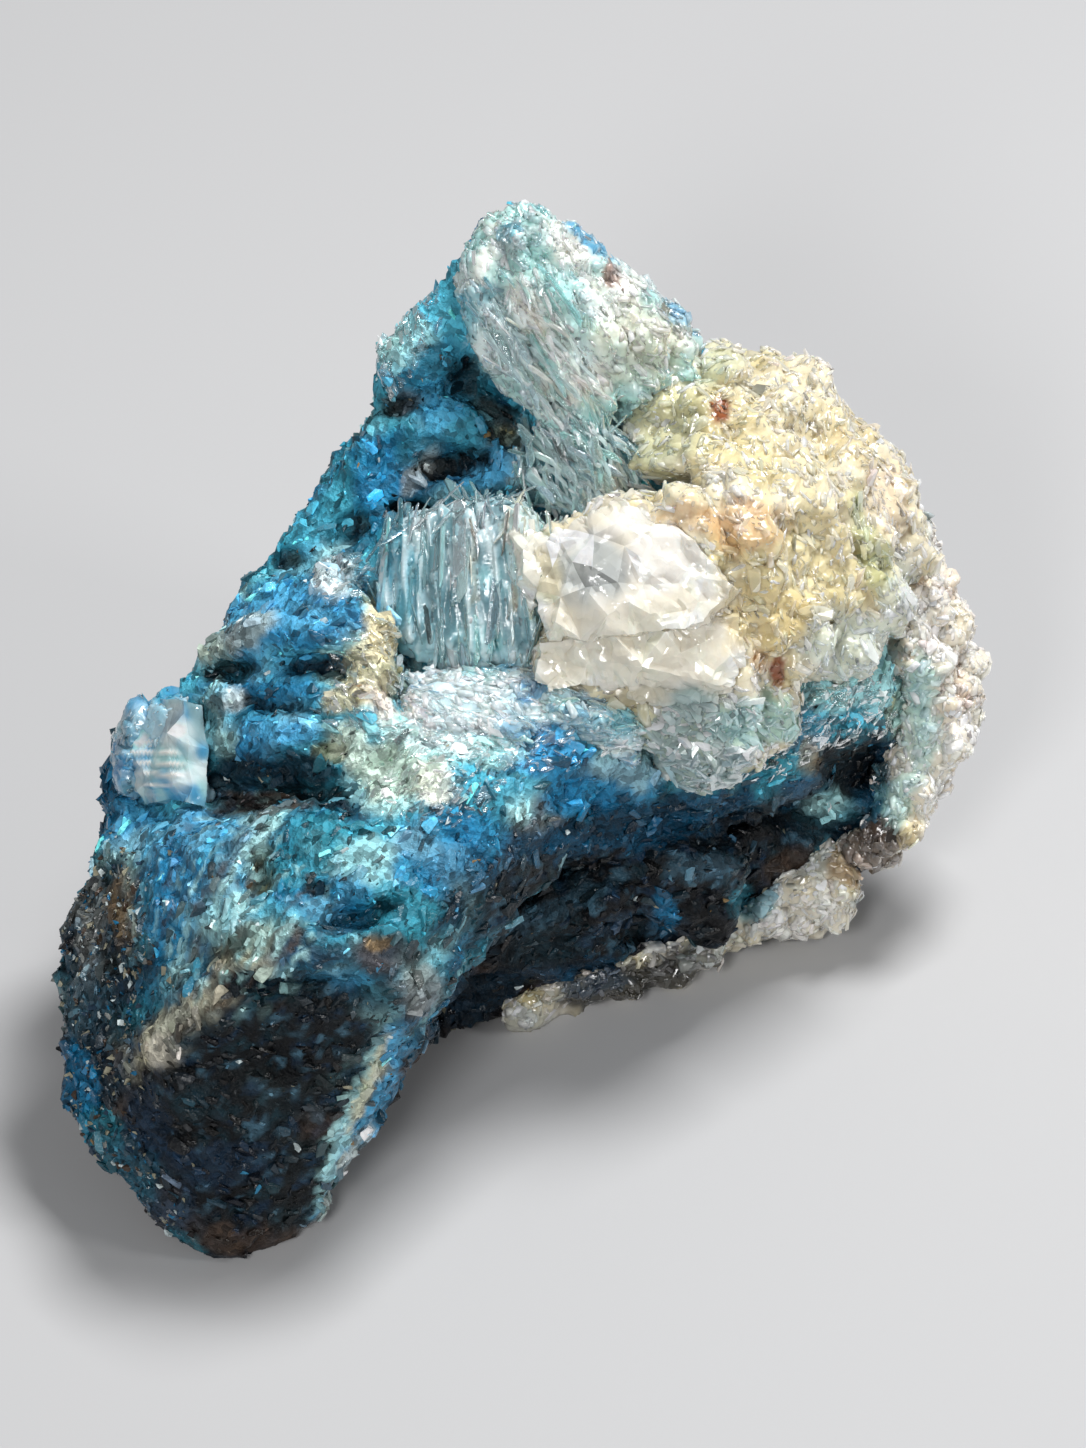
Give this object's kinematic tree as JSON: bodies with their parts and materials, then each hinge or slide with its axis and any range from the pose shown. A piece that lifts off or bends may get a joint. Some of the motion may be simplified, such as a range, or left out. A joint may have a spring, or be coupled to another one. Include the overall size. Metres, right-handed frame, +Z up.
{
  "type": "selenite on shattuckite",
  "caption": "Mineral specimen: clear to cream selenite crystals grown over a rugged blue shattuckite block, resting on its own underside.",
  "frame": {"origin": "on the table, at the middle of the specimen's footprint box", "axes": "+Z up as it rests; -Y towards the side shown, with the front lobe; +X to that side's right, towards the cream rim"},
  "size_m": [0.0664, 0.0617, 0.056],
  "materials": {
    "shattuckite": "rough, fibrous blue and teal grains over dark host rock",
    "cream_selenite": "translucent, vitreous to pearly crystal faces",
    "teal_selenite": "translucent, vitreous, tinted by the stone beneath",
    "clear_selenite": "clear, vitreous blades",
    "pale_selenite": "pale satin needles",
    "blue_selenite": "clear and fibrous, over blue",
    "rim_selenite": "cream to pinkish, translucent",
    "grey_selenite": "grey-white to brown, translucent"
  },
  "bodies": {
    "root": {"shattuckite_rock": "shattuckite", "selenite_dome": "cream_selenite", "selenite_peak": "teal_selenite", "selenite_blades": "clear_selenite", "selenite_ledge_needles": "pale_selenite", "selenite_left_crystal": "blue_selenite", "selenite_right_rim": "rim_selenite", "selenite_lower_crust": "grey_selenite"}
  },
  "joints": []
}
